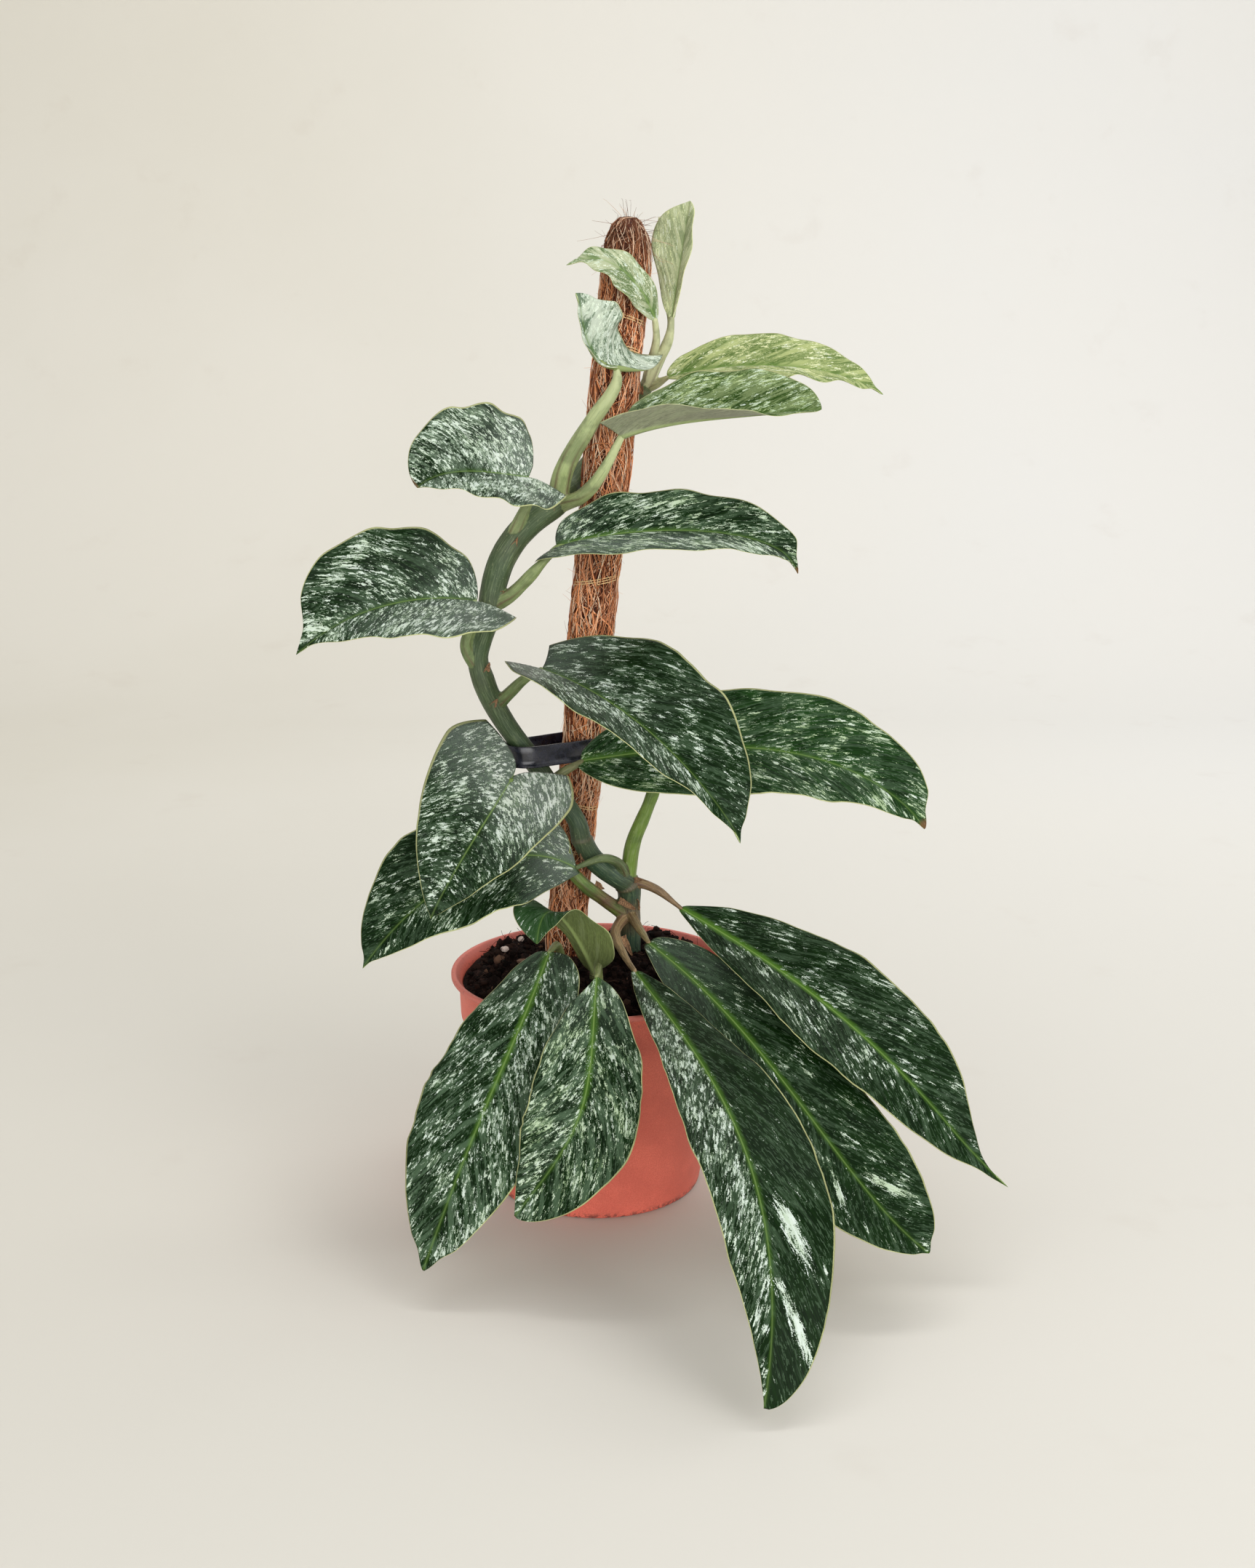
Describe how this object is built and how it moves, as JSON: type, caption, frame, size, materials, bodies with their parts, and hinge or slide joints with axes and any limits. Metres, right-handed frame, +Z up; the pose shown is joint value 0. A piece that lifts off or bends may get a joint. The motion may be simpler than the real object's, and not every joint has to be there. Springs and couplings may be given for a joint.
{
  "type": "potted climbing houseplant",
  "caption": "Variegated climbing foliage plant with drooping oval leaves, its kinked stem clipped to a coir pole in a round nursery pot filled with soil.",
  "frame": {"origin": "centre of the pot's flat underside", "axes": "+Z up along the pot's axis; -Y the front of the plant; +X to the right as seen from the front"},
  "size_m": [0.3684, 0.3505, 0.558],
  "materials": {
    "terracotta_plastic": "matte",
    "peat_soil": "matte",
    "coir": "matte",
    "dark_clip": "gloss",
    "stem_green": "satin",
    "stalk_green": "satin",
    "leaf_young": "satin",
    "leaf_silvery": "satin",
    "leaf_light": "satin",
    "leaf_variegated": "satin",
    "leaf_dark": "satin",
    "leaf_olive": "satin",
    "perlite": "matte",
    "bark": "matte"
  },
  "bodies": {
    "root": {"pot": "terracotta_plastic", "soil": "peat_soil", "coir_pole": "coir", "pole_clip": "dark_clip", "climbing_stem": "stem_green", "stalk_curled": "stalk_green", "stalk_front_left": "stalk_green", "stalk_over_rim": "stalk_green", "leaf_spear": "leaf_young", "leaf_crown": "leaf_young", "leaf_silver": "leaf_silvery", "leaf_lime": "leaf_light", "leaf_keel": "leaf_dark", "leaf_round": "leaf_variegated", "leaf_broad": "leaf_variegated", "leaf_long": "leaf_variegated", "leaf_mantle": "leaf_variegated", "leaf_hook": "leaf_dark", "leaf_heart": "leaf_light", "leaf_wing": "leaf_variegated", "leaf_curled": "leaf_olive", "leaf_front_left": "leaf_light", "leaf_over_rim": "leaf_light", "leaf_tongue": "leaf_dark", "leaf_low_right": "leaf_dark", "leaf_far_right": "leaf_dark", "perlite_left": "perlite", "perlite_right": "perlite", "bark_chip": "bark"}
  },
  "joints": []
}
